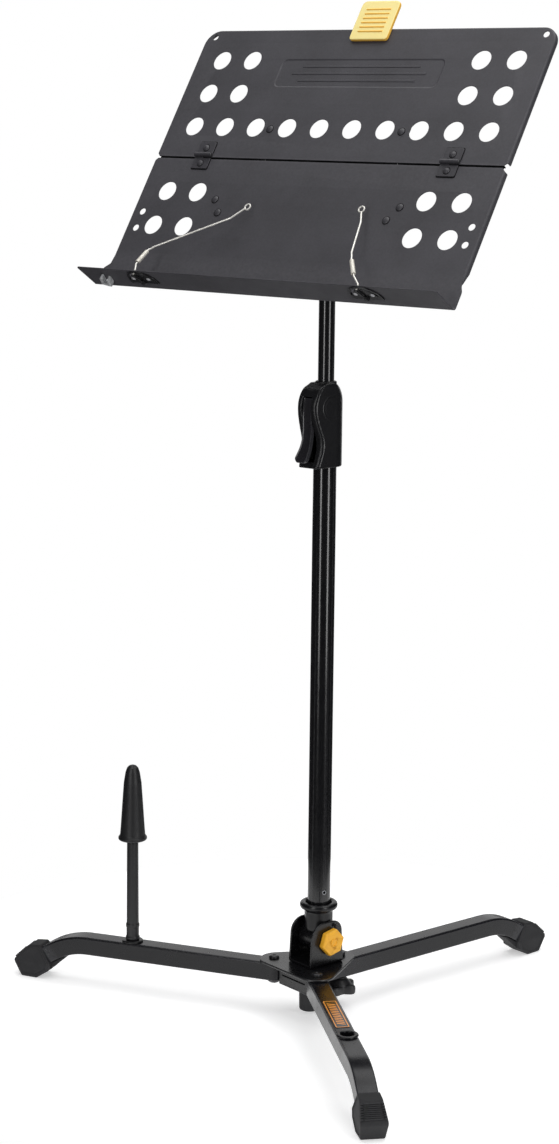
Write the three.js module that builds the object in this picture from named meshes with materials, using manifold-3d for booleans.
// A folding-desk music stand: a tripod base with two swivelling legs, a tilting shaft in two
// telescoping tubes, a squeeze-lever clutch, and a perforated desk in two hinged panels with
// page retainers and a page clip. Millimetres, +Z up, the reader stands on the -Y side.
import * as THREE from "three";
import { mergeVertices } from "three/addons/utils/BufferGeometryUtils.js";
import Module from "manifold-3d";

const wasm = await Module();
wasm.setup();

// ---------- driving dimensions ----------
const GAP = 0.3; // clearance between touching pieces
const degrees = (angle) => (angle * Math.PI) / 180;

const BACK_LEG_AZIMUTH = 78.5; // the fixed leg, counted from +X
const SHAFT_OFFSET = 12.4; // from the tripod's centre to the shaft, towards the back leg

const LEG = {
  width: 24,
  height: 22.5,
  top: 60,
  wall: 1.6,
  bendStart: 290,
  bendRadius: 100,
  bendAngle: 31,
  endLength: 26,
  pivot: 46,
  socketAt: 232,
};
const HUB = { lobeRadius: 23, lobeAt: 40, plate: 3, yokeFront: -26, yokeHalf: 26.5, yokeDrop: 25 };
const CLEVIS = { inner: 17.6, sheet: 2.7, front: -29, back: 22, top: 117, pivotZ: 93 };
const STOP_PIN = { x: 8.8, z: 110.7, radius: 2.5 };
const SOCKET = { neck: 17, flange: 22.6, flangeZ: 130, topZ: 138 };
const LOWER_TUBE = { radius: 13.6, wall: 1.5, bottom: 113, top: 702 };
const UPPER_TUBE = { radius: 9.5, wall: 1.5, bottom: 350, top: 920 };
const CLUTCH = {
  bottom: 664,
  top: 761,
  sleeve: 19.5,
  bore: 14.2,
  nose: 11,
  slot: 7.1,
  pinY: -22.5,
  pinZ: 737,
  springStart: 2.4,
};
const HEAD = { pivotZ: 945, ear: 8, earRadius: 14, sleeve: 13, sleeveBottom: 896, sleeveTop: 924 };

// The desk has its own axes: u to the reader's right, v up the desk, n out of its face.
const DESK = {
  recline: 33,
  centre: [0, 10.1, 1047.8],
  halfWidth: 250,
  top: 135,
  joint: -43,
  bend: -218,
  sheet: 1.2,
  rim: 7,
  corner: 20,
  jointCorner: 4.5,
  shelf: 41,
  shelfCorner: 4,
  rimEnd: -188,
  flare: 6,
};
const HOLE = { radius: 12.3, pitch: 46.7, rows: [92, 46, 0, -89, -135] };
const OUTER_COLUMNS = [-4.5, -3.5, 3.5, 4.5]; // in pitches from the middle
const MIDDLE_COLUMNS = [-2.5, -1.5, -0.5, 0.5, 1.5, 2.5];
const HINGE = { u: 176, v: -40, n: 3, width: 24, knuckle: 2.6 };
const RIVETS = { strap: [94, -2], bracket: [[132, -98], [120.5, -115]] };
const RETAINER = {
  slotRadius: 17.5,
  pivotN: 19.5,
  plate: 1.4,
  rivetX: 11.4,
  rivetY: 6.6,
  rivetHead: 0.9,
  wire: 1.05,
  coil: 2.4,
};
const BOLT_HOLE = 4.3; // radius of the holes for 8 mm bolts
const LEAF_RIVETS = { upperV: -30.5, lowerV: -51 };

const COLOUR = {
  desk: 0x3d3b40,
  tube: 0x17171a,
  leg: 0x2a292c,
  plastic: 0x222225,
  rubber: 0x2b2b2e,
  zinc: 0xb9bab8,
  nickel: 0xd8d6d0,
  yellow: 0xf0a81c,
  clear: 0xd9dde0,
  label: 0xd98324,
};

// ---------- solids ----------
function toSolid(geometry) {
  const bare = geometry.clone();
  bare.deleteAttribute("normal");
  bare.deleteAttribute("uv");
  const merged = mergeVertices(bare, 1e-4);
  return new wasm.Manifold(
    new wasm.Mesh({
      numProp: 3,
      vertProperties: merged.attributes.position.array,
      triVerts: new Uint32Array(merged.index.array),
    }),
  );
}

function toGeometry(solid) {
  const mesh = solid.getMesh();
  return new THREE.BufferGeometry()
    .setAttribute("position", new THREE.BufferAttribute(new Float32Array(mesh.vertProperties), 3))
    .setIndex(new THREE.BufferAttribute(new Uint32Array(mesh.triVerts), 1));
}

function join(...pieces) {
  return toGeometry(pieces.map(toSolid).reduce((whole, piece) => whole.add(piece)));
}

function cut(body, ...tools) {
  return toGeometry(tools.map(toSolid).reduce((whole, tool) => whole.subtract(tool), toSolid(body)));
}

function common(a, b) {
  return toGeometry(toSolid(a).intersect(toSolid(b)));
}

// ---------- primitives, each placed by its low end or centre ----------
function block(x0, x1, y0, y1, z0, z1) {
  return new THREE.BoxGeometry(x1 - x0, y1 - y0, z1 - z0).translate(
    (x0 + x1) / 2,
    (y0 + y1) / 2,
    (z0 + z1) / 2,
  );
}

// A round bar along +Z from z0 to z1; a second radius makes it a cone.
function rod(radius, z0, z1, sides = 20, topRadius = radius) {
  return new THREE.CylinderGeometry(topRadius, radius, z1 - z0, sides)
    .rotateX(Math.PI / 2)
    .translate(0, 0, (z0 + z1) / 2);
}

const alongX = (geometry) => geometry.rotateY(Math.PI / 2);
const alongY = (geometry) => geometry.rotateX(-Math.PI / 2);

// A turned piece about Z from a closed outline of [radius, height] points.
function turned(points, sides = 20) {
  const outline = points.map(([r, z]) => new THREE.Vector2(r, z));
  if (points[0][0] > 0) outline.push(outline[0].clone());
  return new THREE.LatheGeometry(outline, sides).rotateX(Math.PI / 2);
}

function polygon(points) {
  return new THREE.Shape(points.map(([x, y]) => new THREE.Vector2(x, y)));
}

function roundedBox(halfWidth, low, high, radius, lowRadius = 0) {
  const shape = new THREE.Shape();
  const corner = (x, y, start, r) =>
    r ? shape.absarc(x, y, r, degrees(start), degrees(start + 90), false) : shape.lineTo(x, y);
  shape.moveTo(lowRadius - halfWidth, low);
  corner(halfWidth - lowRadius, low + lowRadius, -90, lowRadius);
  corner(halfWidth - radius, high - radius, 0, radius);
  corner(radius - halfWidth, high - radius, 90, radius);
  corner(lowRadius - halfWidth, low + lowRadius, 180, lowRadius);
  return shape;
}

// A flat sheet: the outline in XY, extruded from z0 to z1.
function sheet(shape, z0, z1, curveSegments = 4) {
  const settings = { depth: z1 - z0, bevelEnabled: false, curveSegments };
  return new THREE.ExtrudeGeometry(shape, settings).translate(0, 0, z0);
}

// The same with the outline in XZ, centred across Y.
function sideSheet(shape, width, curveSegments = 4) {
  return sheet(shape, -width / 2, width / 2, curveSegments).rotateX(Math.PI / 2);
}

// And with the outline in YZ, from x0 to x1.
function crossSheet(shape, x0, x1, curveSegments = 4) {
  const turn = new THREE.Matrix4().makeBasis(
    new THREE.Vector3(0, 1, 0),
    new THREE.Vector3(0, 0, 1),
    new THREE.Vector3(1, 0, 0),
  );
  return sheet(shape, x0, x1, curveSegments).applyMatrix4(turn);
}

// A round wire along a curve through the points, flat at both ends.
function wire(points, radius, steps, tension = 0.5, sides = 6) {
  const path = new THREE.CatmullRomCurve3(
    points.map(([x, y, z]) => new THREE.Vector3(x, y, z)),
    false,
    "catmullrom",
    tension,
  );
  const section = new THREE.Shape().absarc(0, 0, radius, 0, 2 * Math.PI, false);
  const settings = { steps, extrudePath: path, curveSegments: sides / 2, bevelEnabled: false };
  return new THREE.ExtrudeGeometry(section, settings);
}

// A ribbon of even thickness about a curve, as an outline.
function ribbon(points, thickness, steps = 16) {
  const curve = new THREE.SplineCurve(points.map(([x, y]) => new THREE.Vector2(x, y)));
  const side = (sign) =>
    Array.from({ length: steps + 1 }, (_, i) => {
      const at = curve.getPointAt(i / steps);
      const along = curve.getTangentAt(i / steps);
      return [at.x - (sign * along.y * thickness) / 2, at.y + (sign * along.x * thickness) / 2];
    });
  return polygon([...side(1), ...side(-1).reverse()]);
}

// ---------- scene graph ----------
const root = new THREE.Group();

function groupAt(parent, position, rotation = [0, 0, 0]) {
  const group = new THREE.Group();
  group.position.set(...position);
  group.rotation.set(...rotation.map(degrees));
  parent.add(group);
  return group;
}

function add(parent, name, geometry, colour, roughness = 0.5, metalness = 0) {
  const material = new THREE.MeshStandardMaterial({ color: colour, roughness, metalness });
  const mesh = new THREE.Mesh(geometry, material);
  mesh.name = name;
  parent.add(mesh);
}

const addPainted = (parent, name, geometry, colour = COLOUR.leg) =>
  add(parent, name, geometry, colour, 0.4, 0.3);
const addPlastic = (parent, name, geometry, colour = COLOUR.plastic) =>
  add(parent, name, geometry, colour, 0.55);
const addMetal = (parent, name, geometry, colour = COLOUR.zinc) =>
  add(parent, name, geometry, colour, 0.3, 1);

// ---------- legs and feet, with the leg running along +X ----------
function legOutline(start, inset) {
  const shape = new THREE.Shape();
  const { top, height, bendStart, bendRadius, bendAngle, endLength } = LEG;
  const centreZ = top - bendRadius;
  const outer = bendRadius - inset;
  const inner = bendRadius - height + inset;
  const end = degrees(90 - bendAngle);
  const reach = endLength + (inset > 0 ? 1 : 0);
  const along = [Math.sin(end) * reach, -Math.cos(end) * reach];
  const point = (radius) => [
    bendStart + radius * Math.cos(end) + along[0],
    centreZ + radius * Math.sin(end) + along[1],
  ];
  shape.moveTo(start, top - inset);
  shape.lineTo(bendStart, top - inset);
  shape.absarc(bendStart, centreZ, outer, degrees(90), end, true);
  shape.lineTo(...point(outer));
  shape.lineTo(...point(inner));
  shape.absarc(bendStart, centreZ, inner, end, degrees(90), false);
  shape.lineTo(start, top - height + inset);
  return shape;
}

// A bent rectangular tube; the inner end of a swivelling leg is rounded about its pivot.
function legTube(start, swivels) {
  const half = LEG.width / 2;
  const bottom = LEG.top - LEG.height;
  const blank = sideSheet(legOutline(start, 0), LEG.width, 4);
  const hollow = sideSheet(legOutline(start - 1, LEG.wall), LEG.width - 2 * LEG.wall, 4);
  const boltHole = rod(BOLT_HOLE, bottom - 1, LEG.top + 1, 16).translate(LEG.pivot, 0, 0);
  const tools = [hollow, boltHole];
  if (swivels) {
    const square = block(start - 1, LEG.pivot, -half - 1, half + 1, bottom - 2, LEG.top + 2);
    const round = rod(half, bottom - 3, LEG.top + 3, 28).translate(LEG.pivot, 0, 0);
    tools.push(cut(square, round));
    tools.push(rod(9 + GAP, LEG.top - 8, LEG.top + 1, 24).translate(LEG.socketAt, 0, 0));
  }
  return cut(blank, ...tools);
}

const FOOT_OUTLINE = [
  [352.3, 42.6],
  [367, 41.2],
  [388, 21],
  [378, 0],
  [357, 0],
  [341, 10.5],
  [321, 28.3],
  [321.4, 30.4],
  [338.4, 20.4],
];

function footCap() {
  const blank = sideSheet(polygon(FOOT_OUTLINE), 31);
  const pocket = new THREE.Shape();
  const end = degrees(90 - LEG.bendAngle);
  const centreZ = LEG.top - LEG.bendRadius;
  const corner = (radius, reach) => [
    LEG.bendStart + radius * Math.cos(end) + Math.sin(end) * reach,
    centreZ + radius * Math.sin(end) - Math.cos(end) * reach,
  ];
  const outer = LEG.bendRadius + GAP;
  const inner = LEG.bendRadius - LEG.height - GAP;
  pocket.moveTo(...corner(outer, LEG.endLength + GAP));
  pocket.lineTo(...corner(inner, LEG.endLength + GAP));
  pocket.absarc(LEG.bendStart, centreZ, inner, end, degrees(80), false);
  pocket.lineTo(LEG.bendStart + 10, LEG.top + 5);
  pocket.absarc(LEG.bendStart, centreZ, outer, degrees(80), end, true);
  return cut(blank, sideSheet(pocket, LEG.width + 2 * GAP, 4));
}

// The plastic liner of the accessory socket in a leg's top wall.
function socketLiner() {
  const top = LEG.top;
  return turned([
    [7.8, top - 15],
    [9, top - 15],
    [9, top + GAP],
    [12.9, top + GAP],
    [12.9, top + 1.3],
    [11.9, top + 2.2],
    [8.8, top + 2.2],
    [7.8, top + 1.4],
  ], 16).translate(LEG.socketAt, 0, 0);
}

function pegPost() {
  const foot = LEG.top - 13;
  return turned([
    [0, foot],
    [6.4, foot],
    [7.4, foot + 2],
    [7.4, LEG.top + 3],
    [8.4, LEG.top + 6],
    [7.4, LEG.top + 24],
    [6.8, 188],
    [4.4, 189],
    [4.4, 214],
    [0, 214],
  ], 16).translate(LEG.socketAt, 0, 0);
}

// The tapered rest that the bell of a brass instrument slides over.
function pegCone() {
  return turned([
    [4.7, 189.3],
    [14.5, 189.3],
    [17.5, 191],
    [17.5, 193.5],
    [15.5, 196],
    [11, 262],
    [8.5, 276],
    [5, 282],
    [0, 284],
    [0, 215],
    [4.7, 215],
  ], 16).translate(LEG.socketAt, 0, 0);
}

// A headed bolt along Z: a domed head above the seat, the shank below it.
function bolt(seat, shankRadius, length, headRadius, headHeight) {
  return turned([
    [0, seat - length],
    [shankRadius, seat - length],
    [shankRadius, seat],
    [headRadius, seat],
    [headRadius, seat + headHeight * 0.5],
    [headRadius * 0.8, seat + headHeight],
    [0, seat + headHeight],
  ], 14);
}

function buildLeg(parent, prefix, azimuth, start, swivels) {
  const leg = groupAt(parent, [0, 0, 0], [0, 0, azimuth]);
  addPainted(leg, `${prefix}_leg`, legTube(start, swivels));
  addPlastic(leg, `${prefix}_foot`, footCap(), COLOUR.rubber);
  if (swivels) addPlastic(leg, `${prefix}_leg_socket`, socketLiner());
  return leg;
}

// ---------- hub, with the back leg along +X ----------
function lobedOutline(radius) {
  const shape = new THREE.Shape();
  for (const azimuth of [0, 120, 240]) {
    const x = HUB.lobeAt * Math.cos(degrees(azimuth));
    const y = HUB.lobeAt * Math.sin(degrees(azimuth));
    shape.absarc(x, y, radius, degrees(azimuth - 60), degrees(azimuth + 60), false);
  }
  return shape;
}

function pivotPoints() {
  return [0, 120, -120].map((azimuth) => [
    LEG.pivot * Math.cos(degrees(azimuth)),
    LEG.pivot * Math.sin(degrees(azimuth)),
  ]);
}

function hubPlate() {
  const low = LEG.top + GAP;
  const high = low + HUB.plate;
  const holes = pivotPoints().map(([x, y]) => rod(BOLT_HOLE, low - 1, high + 1, 16).translate(x, y, 0));
  return cut(sheet(lobedOutline(HUB.lobeRadius), low, high, 6), ...holes);
}

// The folded channel between the swivelling legs: a front wall with a slot, and a floor.
function hubYoke() {
  const high = LEG.top - 0.1;
  const low = high - HUB.yokeDrop;
  const { yokeFront: front, yokeHalf: half } = HUB;
  const wall = block(front, front + 3, -half, half, low, high);
  const floor = block(front, 11, -half, half, low, low + 2.6);
  const slot = block(front - 1, front + 4, -half + 5, half - 5, low + 11.4, low + 13.2);
  return cut(join(wall, floor), slot);
}

function centreBumper() {
  const high = LEG.top - 0.1 - HUB.yokeDrop - GAP;
  return turned([
    [0, 5],
    [11.2, 5],
    [12.4, 6.4],
    [12.9, high - 1],
    [12, high],
    [0, high],
  ]);
}

// A five-lobed hand knob under the back leg, turning on the leg's bolt.
function lockKnob() {
  const low = 17;
  const high = LEG.top - LEG.height - 3;
  const shape = new THREE.Shape();
  const lobes = 5;
  for (let i = 0; i <= lobes * 12; i++) {
    const turn = (i / (lobes * 12)) * 2 * Math.PI;
    const radius = 19.5 + 3.5 * Math.cos(lobes * turn);
    const point = [radius * Math.cos(turn), radius * Math.sin(turn)];
    if (i === 0) shape.moveTo(...point);
    else if (i < lobes * 12) shape.lineTo(...point);
  }
  const body = sheet(shape, low, low + 11);
  const hub = rod(15, low + 10, high, 28, 9);
  const hole = rod(BOLT_HOLE, low + 4, high + 1, 16);
  return cut(join(body, hub), hole).translate(LEG.pivot, 0, 0);
}

function backLegBolt() {
  return bolt(LEG.top + GAP + HUB.plate + GAP, 4, 41, 7.5, 4).translate(LEG.pivot, 0, 0);
}

// A swivelling leg's pivot: domed head on the hub's plate, shank through the leg, washer below.
function pivotBolt() {
  const seat = LEG.top + GAP + HUB.plate + GAP;
  const under = LEG.top - LEG.height - GAP;
  return turned([
    [0, under - 4.2],
    [5.5, under - 4.2],
    [7.6, under - 2.6],
    [8.8, under - 1.6],
    [8.8, under],
    [4, under],
    [4, seat],
    [6.5, seat],
    [6.5, seat + 1.4],
    [4.6, seat + 3],
    [0, seat + 3],
  ], 14);
}

// ---------- clevis and shaft socket, about the shaft's axis with the back leg along +X ----------
function clevisBracket() {
  const low = LEG.top + GAP + HUB.plate + GAP;
  const { inner, sheet: thick, front, back, top, pivotZ } = CLEVIS;
  const outline = new THREE.Shape();
  outline.moveTo(front, low);
  outline.lineTo(back, low);
  outline.lineTo(back - 2, top - 14);
  outline.absarc(back - 16, top - 14, 14, 0, degrees(90), false);
  outline.absarc(front + 20, top - 18, 18, degrees(90), degrees(180), false);
  const cheek = () => sideSheet(outline, thick, 5);
  const near = cheek().translate(0, -inner - thick / 2, 0);
  const far = cheek().translate(0, inner + thick / 2, 0);
  const base = block(front, back, -inner - thick, inner + thick, low, low + 3);
  const bore = alongY(rod(5.4, -40, 40, 20)).translate(0, 0, pivotZ);
  const pinHole = alongY(rod(STOP_PIN.radius + GAP, -40, 0, 12)).translate(STOP_PIN.x, 0, STOP_PIN.z);
  const boltHole = rod(8, low - 1, low + 4, 20).translate(LEG.pivot - SHAFT_OFFSET, 0, 0);
  return cut(join(near, far, base), bore, pinHole, boltHole);
}

function stopPin() {
  const { x, z, radius } = STOP_PIN;
  return alongY(rod(radius, -6.4, 0, 12)).translate(x, -CLEVIS.inner - GAP, z);
}

function shaftSocket() {
  const { neck, flange, flangeZ, topZ } = SOCKET;
  const bore = LOWER_TUBE.radius + GAP;
  const cup = turned([
    [0, 104],
    [neck - 1, 104],
    [neck, 107],
    [neck, flangeZ - 4],
    [neck + 2, flangeZ - 1],
    [flange - 2, flangeZ],
    [flange, flangeZ + 2.5],
    [flange, flangeZ + 5],
    [flange - 2, topZ],
    [bore + 2.5, topZ],
    [bore, topZ - 6],
    [bore, LOWER_TUBE.bottom - GAP],
    [0, LOWER_TUBE.bottom - GAP],
  ], 24);
  const width = 2 * (CLEVIS.inner - GAP);
  const knuckle = alongY(rod(16.5, -width / 2, width / 2, 28)).translate(0, 0, CLEVIS.pivotZ);
  const web = block(-13, 13, -13, 13, CLEVIS.pivotZ, 108);
  const hole = alongY(rod(5.4, -30, 30, 20)).translate(0, 0, CLEVIS.pivotZ);
  return cut(join(cup, knuckle, web), hole);
}

// Across the clevis, with one end in the knob and the other in the nut.
function tiltBolt() {
  const reach = CLEVIS.inner + CLEVIS.sheet;
  return alongY(rod(5, -reach - 6, reach + 6, 20)).translate(0, 0, CLEVIS.pivotZ);
}

function tiltKnob() {
  const seat = CLEVIS.inner + CLEVIS.sheet + GAP;
  const hexagon = turned([
    [0, seat],
    [15.2, seat],
    [16.8, seat + 1.6],
    [16.8, seat + 7],
    [15, seat + 8.6],
    [4.6, seat + 8.6],
    [4.6, seat + 9.2],
    [3.4, seat + 9.2],
    [3.4, seat + 8.6],
    [0, seat + 8.6],
  ], 6);
  const shankHole = rod(5 + GAP, seat - 1, seat + 6 + GAP, 20);
  const knob = cut(hexagon, shankHole);
  return alongY(knob.rotateX(Math.PI)).rotateY(degrees(12)).translate(0, 0, CLEVIS.pivotZ);
}

function tiltNut() {
  const seat = CLEVIS.inner + CLEVIS.sheet + GAP;
  const nut = cut(rod(9.5, seat, seat + 7, 6), rod(5 + GAP, seat - 1, seat + 8, 20));
  return alongY(nut).translate(0, 0, CLEVIS.pivotZ);
}

// ---------- shaft ----------
function pipe(radius, wall, low, high, sides = 24) {
  return turned([
    [radius - wall, low],
    [radius, low],
    [radius, high],
    [radius - wall, high],
  ], sides);
}

function lowerTube() {
  const tube = pipe(LOWER_TUBE.radius, LOWER_TUBE.wall, LOWER_TUBE.bottom, LOWER_TUBE.top);
  const pinHole = alongY(rod(1.9, -20, 0, 12)).rotateZ(degrees(66)).translate(0, 0, 152);
  return cut(tube, pinHole);
}

// The clutch body seen from the side, as [y, z] points down its reader side.
const CLUTCH_FRONT = [
  [-12, 761],
  [-27, 755],
  [-35.5, 742],
  [-36.6, 728],
  [-32, 712],
  [-26.6, 698],
  [-26, 686],
  [-29.5, 674],
  [-33, 664],
];

function clutchBody() {
  const { bottom, top, sleeve, bore, nose, slot } = CLUTCH;
  const side = new THREE.Shape();
  side.moveTo(...CLUTCH_FRONT[0]);
  side.splineThru(CLUTCH_FRONT.slice(1).map(([y, z]) => new THREE.Vector2(y, z)));
  side.lineTo(sleeve, bottom);
  side.lineTo(sleeve, top - 24);
  side.absarc(sleeve - 24, top - 24, 24, 0, degrees(90), false);
  const plan = new THREE.Shape();
  plan.moveTo(-nose, -40);
  plan.lineTo(nose, -40);
  plan.absarc(0, 0, sleeve, degrees(-16), degrees(196), false);
  const blank = common(crossSheet(side, -22, 22, 3), sheet(plan, bottom - 1, top + 1, 9));
  const leverSlot = block(-slot, slot, -50, -15, bottom + 8, top - 15);
  const cavity = rod(bore, bottom - 1, top - 5, 24);
  const mouth = rod(12.8, top - 6, top + 1, 24);
  const pinHole = alongX(rod(2.3, -30, 30, 16)).translate(0, CLUTCH.pinY, CLUTCH.pinZ);
  return cut(blank, leverSlot, cavity, mouth, pinHole);
}

// Half of the clutch body, on the side of x = sign.
function clutchShell(sign) {
  const halfSpace = sign > 0 ? block(0.15, 60, -60, 60, 600, 800) : block(-60, -0.15, -60, 60, 600, 800);
  return common(clutchBody(), halfSpace);
}

function clutchLever() {
  const curve = [
    [-28, 744],
    [-29.4, 726],
    [-30.6, 706],
    [-35, 689],
    [-45.5, 672],
  ];
  const half = CLUTCH.slot - 0.6;
  const blade = crossSheet(ribbon(curve, 6), -half, half);
  const bossEnd = CLUTCH.springStart - GAP;
  const boss = alongX(rod(5.2, -half, bossEnd, 20)).translate(0, CLUTCH.pinY, CLUTCH.pinZ);
  const web = block(-half, bossEnd, -28, CLUTCH.pinY, CLUTCH.pinZ - 4, CLUTCH.pinZ + 4);
  const hole = alongX(rod(2.3, -30, 30, 16)).translate(0, CLUTCH.pinY, CLUTCH.pinZ);
  return cut(join(blade, boss, web), hole);
}

function leverPin() {
  return alongX(rod(2, -13.4, 13.4, 14)).translate(0, CLUTCH.pinY, CLUTCH.pinZ);
}

// The torsion spring that holds the lever out, round the pin beside the lever's boss.
function clutchSpring() {
  const coil = pipe(2.9, 0.6, CLUTCH.springStart, CLUTCH.slot - GAP, 16);
  return alongX(coil).translate(0, CLUTCH.pinY, CLUTCH.pinZ);
}

function clutchJaw() {
  const ring = pipe(13.7, 3.6, 706, 732, 20);
  return cut(ring, block(-1.2, 1.2, 0, 20, 700, 740));
}

function guideBush() {
  const { top } = CLUTCH;
  return turned([
    [9.9, top - 26],
    [13.9, top - 26],
    [13.9, top - 5 - GAP],
    [12.5, top - 5 - GAP],
    [12.5, top + 0.6],
    [11.6, top + 1.4],
    [9.9, top + 1.4],
  ]);
}

function tubeGlide() {
  const { bottom } = UPPER_TUBE;
  return turned([
    [0, bottom - 12],
    [10.6, bottom - 12],
    [11.7, bottom - 11],
    [11.7, bottom - 1.4],
    [10.9, bottom - GAP],
    [7.6, bottom - GAP],
    [7.6, bottom + 16],
    [0, bottom + 16],
  ], 24);
}

// The cap on the upper tube, with the ear that the desk turns on.
function tiltHead() {
  const { pivotZ, ear, earRadius, sleeve, sleeveBottom, sleeveTop } = HEAD;
  const outer = turned([
    [0, sleeveBottom],
    [sleeve - 1, sleeveBottom],
    [sleeve, sleeveBottom + 1.5],
    [sleeve, sleeveTop - 4],
    [sleeve - 3, sleeveTop],
    [0, sleeveTop],
  ], 20);
  const socket = rod(UPPER_TUBE.radius + GAP, sleeveBottom - 1, UPPER_TUBE.top + GAP, 24);
  const neck = block(-ear, ear, -10.5, 10.5, sleeveTop - 3, pivotZ);
  const eye = alongX(rod(earRadius, -ear, ear, 20)).translate(0, 0, pivotZ);
  const hole = alongX(rod(BOLT_HOLE, -20, 20, 16)).translate(0, 0, pivotZ);
  return cut(join(cut(outer, socket), neck, eye), hole);
}

// ---------- desk, in u, v, n ----------
// Local coordinates of the desk's tilt pivot, straight above the shaft.
const reclineSin = Math.sin(degrees(DESK.recline));
const reclineCos = Math.cos(degrees(DESK.recline));
const pivotRise = HEAD.pivotZ - DESK.centre[2];
const PIVOT = {
  v: -DESK.centre[1] * reclineSin + pivotRise * reclineCos,
  n: DESK.centre[1] * reclineCos + pivotRise * reclineSin,
};

function roundHole(u, v, radius, sides) {
  return rod(radius, -DESK.rim - 1, 1, sides).translate(u, v, 0);
}

// The holes of one row: both outer pairs of columns, or all ten columns along the middle row.
function holesOfRow(v) {
  const columns = v === 0 ? [...OUTER_COLUMNS, ...MIDDLE_COLUMNS] : OUTER_COLUMNS;
  return columns.map((column) => roundHole(column * HOLE.pitch, v, HOLE.radius, 18));
}

const mirrored = (points) => points.flatMap(([u, v]) => [[u, v], [-u, v]]);
const leafRivets = (v) => mirrored([[HINGE.u, v]]);

function rivetHoles(points) {
  return points.map(([u, v]) => roundHole(u, v, 2.3, 8));
}

function upperPanel() {
  const { halfWidth, top, joint, sheet: thick, rim, corner } = DESK;
  const notch = DESK.jointCorner;
  const blank = sheet(roundedBox(halfWidth, joint + 0.6, top, corner, notch), -rim, 0);
  const inside = roundedBox(halfWidth - thick, joint - 10, top - thick, corner - thick);
  const pocket = sheet(inside, -rim - 1, -thick);
  const corners = mirrored([[236, 125]]).map(([u, v]) => roundHole(u, v, 3.8, 10));
  return cut(
    blank,
    pocket,
    ...HOLE.rows.slice(0, 3).flatMap(holesOfRow),
    ...corners,
    ...rivetHoles(mirrored([RIVETS.strap])),
    ...rivetHoles(leafRivets(LEAF_RIVETS.upperV)),
  );
}

function lowerOutline(inset, low, high) {
  const side = DESK.halfWidth - inset;
  const foot = side + DESK.flare;
  const notch = DESK.jointCorner;
  return polygon([
    [-foot, low],
    [foot, low],
    [foot, -197],
    [side, -188],
    [side, high - notch],
    [side - notch, high],
    [notch - side, high],
    [-side, high - notch],
    [-side, -188],
    [-foot, -197],
  ]);
}

// The arc that a retainer sweeps through the shelf, about its pivot, as a band in (u, n).
function sweepSlot(width, n0, n1) {
  const shape = new THREE.Shape();
  const { slotRadius: radius } = RETAINER;
  const from = degrees(12);
  const to = degrees(168);
  shape.absarc(0, 0, radius + width / 2, from, to, false);
  shape.absarc(0, 0, radius - width / 2, to, from, true);
  return sheet(shape, n0, n1, 14);
}

const RETAINER_U = { left: -167, right: 152 };

// Lays a piece made in (u, n) with its height along z onto the shelf's underside at v.
function onShelf(geometry, u, v) {
  const lay = new THREE.Matrix4().makeBasis(
    new THREE.Vector3(1, 0, 0),
    new THREE.Vector3(0, 0, 1),
    new THREE.Vector3(0, -1, 0),
  );
  return geometry.applyMatrix4(lay).translate(u, v, RETAINER.pivotN);
}

function lowerPanel() {
  const { joint, bend, sheet: thick, rim, shelf, halfWidth, flare } = DESK;
  const blank = sheet(lowerOutline(0, bend - thick, joint - 0.6), -rim, 0);
  const pocket = sheet(lowerOutline(thick, bend - thick - 5, joint + 10), -rim - 1, -thick);
  const belowRim = block(-2 * halfWidth, 2 * halfWidth, bend - 5, DESK.rimEnd, -rim - 1, -thick);
  const tray = roundedBox(halfWidth + flare, -thick, shelf, DESK.shelfCorner);
  const shelfPlate = sheet(tray, 0, thick, 3).rotateX(Math.PI / 2).translate(0, bend, 0);
  const slots = Object.values(RETAINER_U).map((u) => onShelf(sweepSlot(3.2, -5, 5), u, bend));
  const { rivetX, rivetY } = RETAINER;
  const plateRivets = Object.values(RETAINER_U).flatMap((u) =>
    [-1, 1].map((side) => onShelf(rod(1.8, -5, 5, 8).translate(side * rivetX, rivetY, 0), u, bend)),
  );
  const pivots = Object.values(RETAINER_U).map((u) => onShelf(rod(2.3, -5, 5, 8), u, bend));
  const sides = mirrored([
    [235, -118],
    [235, -140],
  ]).map(([u, v]) => roundHole(u, v, 4.2, 10));
  return cut(
    join(cut(blank, pocket, belowRim), shelfPlate),
    ...HOLE.rows.slice(3).flatMap(holesOfRow),
    ...sides,
    ...rivetHoles(mirrored(RIVETS.bracket)),
    ...rivetHoles(leafRivets(LEAF_RIVETS.lowerV)),
    ...slots,
    ...plateRivets,
    ...pivots,
  );
}

// A rivet through the sheet: shank from n = back, low dome in front of the face.
function rivet(u, v, back, face = 0) {
  return turned([
    [0, back],
    [2, back],
    [2, face + GAP],
    [4.2, face + GAP],
    [3.4, face + 1.2],
    [0, face + 1.6],
  ], 8).translate(u, v, 0);
}

function deskBracket() {
  const back = -DESK.sheet - GAP;
  const plate = sheet(
    polygon([
      [-121, -127],
      [-30, -114],
      [30, -114],
      [121, -127],
      [143, -99],
      [131, -87],
      [30, -72],
      [-30, -72],
      [-131, -87],
      [-143, -99],
    ]),
    back - 2.5,
    back,
  );
  const cheekOutline = new THREE.Shape();
  cheekOutline.moveTo(-15 + PIVOT.v, back - 1);
  cheekOutline.absarc(PIVOT.v, PIVOT.n, 15, degrees(180), degrees(360), false);
  cheekOutline.lineTo(18 + PIVOT.v, back - 1);
  const inner = HEAD.ear + 1.2;
  const cheeks = [inner, -inner - 2.5].map((u) => crossSheet(cheekOutline, u, u + 2.5));
  const hole = alongX(rod(BOLT_HOLE, -30, 30, 16)).translate(0, PIVOT.v, PIVOT.n);
  const rivets = mirrored(RIVETS.bracket).map(([u, v]) => rivet(u, v, back - 1));
  return cut(join(plate, ...cheeks, ...rivets), hole);
}

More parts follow.
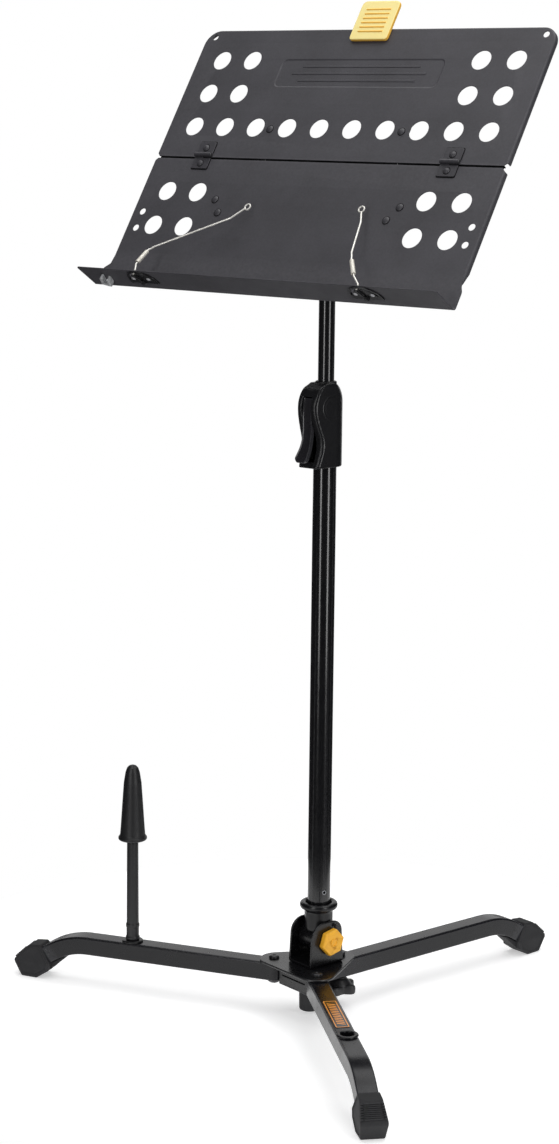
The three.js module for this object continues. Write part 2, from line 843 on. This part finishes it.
function deskBolt() {
  const seat = HEAD.ear + 1.2 + 2.5 + GAP;
  const piece = join(rod(4, -seat - 9, seat + 1, 16), rod(7.5, seat, seat + 5.3, 6));
  return alongX(piece).translate(0, PIVOT.v, PIVOT.n);
}

function deskNut() {
  const seat = HEAD.ear + 1.2 + 2.5 + GAP;
  const piece = cut(rod(7.5, -seat - 7.5, -seat, 6), rod(4 + GAP, -seat - 9, seat, 16));
  return alongX(piece).translate(0, PIVOT.v, PIVOT.n);
}

// One leaf of a front hinge: a plate, its knuckle on one half of the width, and its rivets.
function hingeLeaf(side, up) {
  const { u, v, n, width, knuckle } = HINGE;
  const half = width / 2;
  const far = up > 0 ? v + 18 : v - 18;
  const near = v + up * (knuckle + 0.9);
  const from = Math.min(far, near);
  const to = Math.max(far, near);
  const plate = block(-half, half, from, to, GAP, GAP + 1.2);
  const start = up > 0 ? 0.15 : -half;
  const reach = half - 0.15;
  const tongue = block(start, start + reach, Math.min(v, near), Math.max(v, near), GAP + 0.1, GAP + 1.2);
  const barrel = alongX(rod(knuckle, start, start + reach, 12)).translate(0, v, n);
  const bore = alongX(rod(1.4, -half - 1, half + 1, 10)).translate(0, v, n);
  const rivetV = up > 0 ? LEAF_RIVETS.upperV : LEAF_RIVETS.lowerV;
  const fixing = turned([
    [0, -DESK.sheet - 1.4],
    [3.6, -DESK.sheet - 1.4],
    [3.6, -DESK.sheet - GAP],
    [2, -DESK.sheet - GAP],
    [2, GAP + 1],
    [3.8, GAP + 1],
    [3.8, GAP + 1.8],
    [2.6, GAP + 2.6],
    [0, GAP + 2.8],
  ], 10).translate(0, rivetV, 0);
  return cut(join(plate, tongue, barrel, fixing), bore).translate(side * u, 0, 0);
}

function hingePin(side) {
  const { u, v, n, width } = HINGE;
  const half = width / 2;
  const pin = join(rod(1.1, -half - 0.8, half + 0.8, 12), rod(2, half + GAP, half + 1.1, 12));
  return alongX(pin).translate(side * u, v, n);
}

// A strap riveted behind the upper panel; its tail bears on the lower panel's back.
function stopStrap(side) {
  const [u, v] = RIVETS.strap;
  const back = -DESK.sheet - GAP;
  const plate = sheet(roundedBox(9, -76, v + 11, 6, 6), back - 2, back);
  return join(plate, rivet(0, v, back - 1)).translate(side * u, 0, 0);
}

// ---------- page retainers ----------
function retainerPlate(u) {
  const underside = DESK.bend - DESK.sheet - GAP;
  const shape = new THREE.Shape();
  shape.absarc(0, 0, 21.4, degrees(-10), degrees(190), false);
  const disc = sheet(shape, 0, RETAINER.plate, 6);
  const rivets = [-1, 1].map((side) =>
    turned([
      [0, -DESK.sheet - GAP - 0.9],
      [2.6, -DESK.sheet - GAP - 0.9],
      [2.6, -DESK.sheet - 2 * GAP],
      [1.5, -DESK.sheet - 2 * GAP],
      [1.5, RETAINER.plate - 0.2],
      [2.6, RETAINER.plate - 0.2],
      [2.6, RETAINER.plate + RETAINER.rivetHead / 2],
      [1.6, RETAINER.plate + RETAINER.rivetHead],
      [0, RETAINER.plate + RETAINER.rivetHead],
    ], 8).translate(side * RETAINER.rivetX, RETAINER.rivetY, 0),
  );
  const pivot = rod(2.3, -1, RETAINER.plate + 1, 8);
  const slot = sweepSlot(3.2, -1, RETAINER.plate + 1);
  return onShelf(cut(join(disc, ...rivets), pivot, slot), u, underside);
}

// Routes in (u, v, n): up through the slot to the coil, then across the page to a ring.
const RETAINER_ROUTE = {
  left: {
    u: RETAINER_U.left,
    riser: [-171.2, 36.5],
    coil: [
      [-174, -205.5, 35],
      [-171.5, -184.5, 28],
    ],
    arm: [
      [-169, -177, 25.5],
      [-162, -170, 23],
      [-100, -131, 12],
      [-85, -121, 9.5],
      [-75, -112.8, 8.1],
    ],
    ring: [-72.2, -110.5, 8],
  },
  right: {
    u: RETAINER_U.right,
    riser: [148.4, 36.6],
    coil: [
      [137.8, -205.3, 35.5],
      [121, -181.5, 28.4],
    ],
    arm: [
      [118.5, -175.5, 26.6],
      [115, -166, 24.5],
      [98, -130, 13],
      [93, -119.5, 9.8],
      [89.8, -110.5, 8.1],
    ],
    ring: [88.6, -107.1, 8],
  },
};

function pointOn(coil, share) {
  return coil[0].map((low, axis) => low + (coil[1][axis] - low) * share);
}

// The swinging wire foot: its flat arm clears the plate's rivet heads on a collar.
function retainerFoot({ u, riser, coil }) {
  const { plate, rivetHead } = RETAINER;
  const under = DESK.bend - DESK.sheet - 2 * GAP - plate - rivetHead;
  const inside = -rivetHead - plate - DESK.sheet - 4 * GAP;
  const [riserU, riserN] = riser;
  const armEnd = [riserU - u, riserN - RETAINER.pivotN];
  const reach = Math.hypot(...armEnd);
  const shank = turned([
    [0, inside - 0.7],
    [3, inside - 0.7],
    [3, inside],
    [1.9, inside],
    [1.9, -rivetHead],
    [3.4, -rivetHead],
    [3.4, 1.6],
    [2.4, 2.4],
    [0, 2.4],
  ], 8);
  const arm = block(0, reach + 1.6, -1.8, 1.8, 0, 1.6).rotateZ(Math.atan2(armEnd[1], armEnd[0]));
  const base = onShelf(join(shank, arm), u, under);
  const rise = wire(
    [
      [riserU, under - 1, riserN],
      [riserU, DESK.bend + 3, riserN],
      coil[0],
      pointOn(coil, 0.16),
    ],
    RETAINER.wire,
    9,
    0.3,
  );
  return join(base, rise);
}

function retainerCoil({ coil }) {
  const [low, high] = [pointOn(coil, 0.18), pointOn(coil, 0.82)].map((p) => new THREE.Vector3(...p));
  const length = low.distanceTo(high);
  const toCoil = new THREE.Quaternion().setFromUnitVectors(
    new THREE.Vector3(0, 0, 1),
    high.clone().sub(low).normalize(),
  );
  return pipe(RETAINER.coil, 1.0, 0, length, 12).applyQuaternion(toCoil).translate(low.x, low.y, low.z);
}

function retainerWire({ coil, arm, ring }) {
  const stem = wire([pointOn(coil, 0.84), coil[1], ...arm], RETAINER.wire, 18, 0.3);
  const eye = new THREE.TorusGeometry(3.6, RETAINER.wire * 0.9, 6, 14).translate(...ring);
  return join(stem, eye);
}

// ---------- page clip on the upper edge ----------
const CLIP = { u: -2, half: 27, low: 117, top: 170, pinV: 144, pinN: -5.6 };

function clipTab() {
  const front = GAP + 0.2;
  const outline = new THREE.Shape();
  outline.moveTo(-CLIP.half + 4, CLIP.low);
  outline.lineTo(CLIP.half - 4, CLIP.low);
  outline.absarc(CLIP.half - 4, CLIP.low + 4, 4, degrees(-90), 0, false);
  outline.absarc(CLIP.half - 6, CLIP.top - 6, 6, 0, degrees(90), false);
  outline.absarc(6 - CLIP.half, CLIP.top - 6, 6, degrees(90), degrees(180), false);
  outline.absarc(4 - CLIP.half, CLIP.low + 4, 4, degrees(180), degrees(270), false);
  const face = sheet(outline, front, front + 4.2, 3);
  const { pinV, pinN } = CLIP;
  const ears = [-13, 10].map((u) => block(u, u + 3, pinV - 5, pinV + 5, pinN - 4, front + 1));
  const pin = alongX(rod(1.5, -14.5, 14.5, 12)).translate(0, pinV, pinN);
  return join(face, ...ears, pin).translate(CLIP.u, 0, 0);
}

// The sprung rear jaw: it presses on the rim's back edge and leans away at the top.
function clipJaw() {
  const tip = -DESK.rim - GAP;
  const outline = polygon([
    [CLIP.low + 2, tip],
    [CLIP.low + 2, tip - 2.4],
    [CLIP.pinV, tip - 4.6],
    [CLIP.top - 6, tip - 11],
    [CLIP.top - 5, tip - 8.6],
    [CLIP.pinV + 6, tip - 0.8],
    [CLIP.pinV + 3, CLIP.pinN + 3.2],
    [CLIP.pinV - 3, CLIP.pinN + 3.2],
    [CLIP.pinV - 5, tip],
  ]);
  const jaw = crossSheet(outline, -9.6, 9.6);
  const bore = alongX(rod(1.8, -30, 30, 12)).translate(0, CLIP.pinV, CLIP.pinN);
  return cut(jaw, bore).translate(CLIP.u, 0, 0);
}

// A moulded two-lobed pencil grip under the shelf, open at its outer end.
function pencilGrip() {
  const outer = roundedBox(8, 17, 36, 5, 3);
  const inner = new THREE.Shape().absarc(0, 9, 8.5, 0, 2 * Math.PI, false);
  const waist = roundedBox(6, 10, 20, 1);
  const throat = roundedBox(4, 20, 60, 0.5, 3);
  const lobes = join(sheet(outer, 0, 7, 3), sheet(inner, 0, 6, 6), sheet(waist, 0, 5));
  const grip = cut(lobes, sheet(throat, -1, 10, 4));
  const piece = onShelf(grip, 0, 0).translate(0, 0, -RETAINER.pivotN);
  return piece.rotateY(degrees(24)).translate(-233, DESK.bend - DESK.sheet - GAP, 0);
}

// ---------- assembly ----------
function buildBase() {
  const azimuth = degrees(BACK_LEG_AZIMUTH);
  const centre = [-SHAFT_OFFSET * Math.cos(azimuth), -SHAFT_OFFSET * Math.sin(azimuth), 0];
  const base = groupAt(root, centre, [0, 0, BACK_LEG_AZIMUTH]);
  addPainted(base, "hub_top_plate", hubPlate());
  addPainted(base, "hub_yoke", hubYoke());
  addPlastic(base, "centre_bumper", centreBumper(), COLOUR.rubber);
  addPlastic(base, "leg_lock_knob", lockKnob());
  addMetal(base, "back_leg_bolt", backLegBolt());
  const [, leftPivot, frontPivot] = pivotPoints();
  addMetal(base, "left_pivot_bolt", pivotBolt().translate(...leftPivot, 0));
  addMetal(base, "front_pivot_bolt", pivotBolt().translate(...frontPivot, 0));

  buildLeg(base, "back", 0, 13, false);
  const left = buildLeg(base, "left", 120, LEG.pivot - LEG.width / 2, true);
  addPlastic(left, "peg_post", pegPost());
  addPlastic(left, "peg_cone", pegCone());
  const front = buildLeg(base, "front", -120, LEG.pivot - LEG.width / 2, true);
  const band = sheet(roundedBox(8.4, 124, 208, 2.5, 2.5), 0, 0.4, 4).rotateZ(-Math.PI / 2);
  add(front, "front_leg_label", band.translate(0, 0, LEG.top + 0.15), COLOUR.label, 0.5);

  const tilt = groupAt(base, [SHAFT_OFFSET, 0, 0]);
  addPainted(tilt, "tilt_clevis", clevisBracket());
  addMetal(tilt, "clevis_stop_pin", stopPin());
  addMetal(tilt, "tilt_bolt", tiltBolt());
  addPlastic(tilt, "tilt_knob", tiltKnob(), COLOUR.yellow);
  addMetal(tilt, "tilt_nut", tiltNut());
  addPainted(tilt, "shaft_socket", shaftSocket());
}

function buildShaft() {
  const { radius, wall, bottom, top } = UPPER_TUBE;
  addPainted(root, "lower_tube", lowerTube(), COLOUR.tube);
  addPlastic(root, "clutch_right_shell", clutchShell(1));
  addPlastic(root, "clutch_left_shell", clutchShell(-1));
  addPlastic(root, "clutch_lever", clutchLever());
  addMetal(root, "lever_pin", leverPin());
  addMetal(root, "clutch_spring", clutchSpring());
  addMetal(root, "clutch_jaw", clutchJaw());
  addPlastic(root, "guide_bush", guideBush());
  addPainted(root, "upper_tube", pipe(radius, wall, bottom, top), COLOUR.tube);
  addPlastic(root, "tube_glide", tubeGlide());
  addPlastic(root, "tilt_head", tiltHead());
}

function buildDesk() {
  const desk = groupAt(root, DESK.centre, [90 - DESK.recline, 0, 0]);
  addPainted(desk, "upper_panel", upperPanel(), COLOUR.desk);
  addPainted(desk, "lower_panel", lowerPanel(), COLOUR.desk);
  addPainted(desk, "desk_bracket", deskBracket());
  addMetal(desk, "desk_bolt", deskBolt());
  addMetal(desk, "desk_nut", deskNut());
  for (const [name, side] of [["left", -1], ["right", 1]]) {
    addPainted(desk, `${name}_lower_leaf`, hingeLeaf(side, -1));
    addPainted(desk, `${name}_upper_leaf`, hingeLeaf(side, 1));
    addMetal(desk, `${name}_hinge_pin`, hingePin(side));
    addPainted(desk, `${name}_stop_strap`, stopStrap(side));
    const route = RETAINER_ROUTE[name];
    addPainted(desk, `${name}_retainer_plate`, retainerPlate(route.u));
    addMetal(desk, `${name}_retainer_foot`, retainerFoot(route), COLOUR.nickel);
    addMetal(desk, `${name}_retainer_coil`, retainerCoil(route), COLOUR.nickel);
    addMetal(desk, `${name}_retainer_wire`, retainerWire(route), COLOUR.nickel);
  }
  addPlastic(desk, "clip_tab", clipTab(), COLOUR.yellow);
  addPlastic(desk, "clip_jaw", clipJaw());
  addPlastic(desk, "pencil_grip", pencilGrip(), COLOUR.clear);
}

buildBase();
buildShaft();
buildDesk();

// The origin is on the floor under the middle of the whole stand's box.
const box = new THREE.Box3().setFromObject(root);
const middle = box.getCenter(new THREE.Vector3());
root.position.set(-middle.x, -middle.y, -box.min.z);

export default root;
